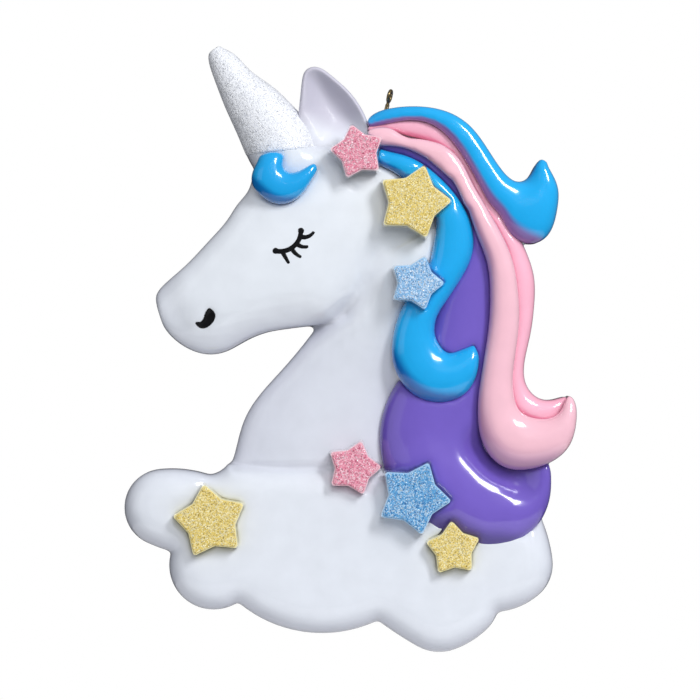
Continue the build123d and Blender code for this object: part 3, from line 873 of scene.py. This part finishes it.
# Table and lights
# A small pale table under the hanging ornament, in a white studio tent, with soft windows at the
# upper right and the left, and one above the camera that leaves no reflection in the gloss.
table_radius = 0.14
table_drop = 0.03
table_sides = 96
tent_bright_side = (0.45, -0.35, 0.8)
middle = (-0.0075, 0.0, -0.048)
bpy.ops.mesh.primitive_circle_add(
    vertices=table_sides,
    radius=table_radius,
    fill_type="NGON",
    location=(0.0, 0.0, cad_low[2] - table_drop),
)
table_top = bpy.context.object
table_top.name = "table_top"
table_paint, _, table_shader = new_material("pale_table")
table_shader.inputs["Base Color"].default_value = (0.72, 0.72, 0.74, 1.0)
table_shader.inputs["Roughness"].default_value = 0.9
dress(table_top, table_paint)

# The camera sees plain white, and the gloss sees a darker tent than the one that lights the rest.
tent = bpy.data.worlds.new("studio_tent")
tent.use_nodes = True
tent_tree = tent.node_tree
tent_tree.nodes.clear()
tent_place = add_node(tent_tree, "ShaderNodeTexCoord", (-900, 0))
tent_aim = add_node(tent_tree, "ShaderNodeVectorMath", (-700, 0), operation="DOT_PRODUCT")
tent_aim.inputs[1].default_value = Vector(tent_bright_side).normalized()
tent_ramp = add_node(tent_tree, "ShaderNodeMapRange", (-450, 0))
tent_ramp.inputs["From Min"].default_value = -1.0
tent_ramp.inputs["To Min"].default_value = 0.16
tent_ramp.inputs["To Max"].default_value = 0.62
tent_light = add_node(tent_tree, "ShaderNodeBackground", (-200, 0))
tent_white = add_node(tent_tree, "ShaderNodeBackground", (-200, -200))
tent_white.inputs["Strength"].default_value = 1.0
tent_white.inputs["Color"].default_value = (1.0, 1.0, 1.0, 1.0)
tent_light.inputs["Color"].default_value = (0.97, 0.98, 1.0, 1.0)
tent_ray = add_node(tent_tree, "ShaderNodeLightPath", (-200, 300))
tent_dark = add_node(tent_tree, "ShaderNodeBackground", (-200, -400))
tent_dark.inputs["Color"].default_value = (0.85, 0.88, 1.0, 1.0)
tent_dim = add_node(tent_tree, "ShaderNodeMapRange", (-450, -400))
tent_dim.inputs["From Min"].default_value = -0.6
tent_dim.inputs["To Min"].default_value = 0.02
tent_dim.inputs["To Max"].default_value = 0.32
tent_gloss = add_node(tent_tree, "ShaderNodeMixShader", (0, -100))
tent_mix = add_node(tent_tree, "ShaderNodeMixShader", (100, 0))
tent_out = add_node(tent_tree, "ShaderNodeOutputWorld", (350, 0))
tent_tree.links.new(tent_place.outputs["Generated"], tent_aim.inputs[0])
tent_tree.links.new(tent_aim.outputs["Value"], tent_ramp.inputs["Value"])
tent_tree.links.new(tent_ramp.outputs["Result"], tent_light.inputs["Strength"])
tent_tree.links.new(tent_ray.outputs["Is Camera Ray"], tent_mix.inputs[0])
tent_tree.links.new(tent_aim.outputs["Value"], tent_dim.inputs["Value"])
tent_tree.links.new(tent_dim.outputs["Result"], tent_dark.inputs["Strength"])
tent_tree.links.new(tent_ray.outputs["Is Glossy Ray"], tent_gloss.inputs[0])
tent_tree.links.new(tent_light.outputs["Background"], tent_gloss.inputs[1])
tent_tree.links.new(tent_dark.outputs["Background"], tent_gloss.inputs[2])
tent_tree.links.new(tent_gloss.outputs["Shader"], tent_mix.inputs[1])
tent_tree.links.new(tent_white.outputs["Background"], tent_mix.inputs[2])
tent_tree.links.new(tent_mix.outputs["Shader"], tent_out.inputs["Surface"])
bpy.context.scene.world = tent
bpy.context.scene.view_settings.view_transform = "Standard"

for name, place, width, height, power in (
    ("window_light", (0.35, -0.50, 0.35), 0.14, 0.26, 3.0),
    ("front_light", (0.10, -0.85, 0.30), 0.30, 0.30, 2.4),
    ("fill_light", (-0.6, -0.5, 0.1), 0.5, 0.5, 0.3),
):
    light = bpy.data.lights.new(name, "AREA")
    light.shape = "RECTANGLE"
    light.size = width
    light.size_y = height
    light.energy = power
    holder = bpy.data.objects.new(name, light)
    holder.location = place
    holder.rotation_euler = (Vector(middle) - Vector(place)).to_track_quat("-Z", "Y").to_euler()
    holder.visible_glossy = name != "front_light"
    bpy.context.scene.collection.objects.link(holder)

# Camera
# Square on to the front, a metre away through a long lens. The width of view is what the lens
# takes in at the view plane, which lies inside the relief.
camera_distance = 1.0
view_plane_y = -0.003
view_width = 0.13203
sensor_width = 36.0
camera_data = bpy.data.cameras.new("camera")
camera_data.sensor_width = sensor_width
camera_data.lens = sensor_width * camera_distance / view_width
camera_data.clip_start = 0.05
camera = bpy.data.objects.new("camera", camera_data)
camera.location = (middle[0], view_plane_y - camera_distance, middle[2])
camera.rotation_euler = (radians(90), 0.0, 0.0)
bpy.context.scene.collection.objects.link(camera)
bpy.context.scene.camera = camera
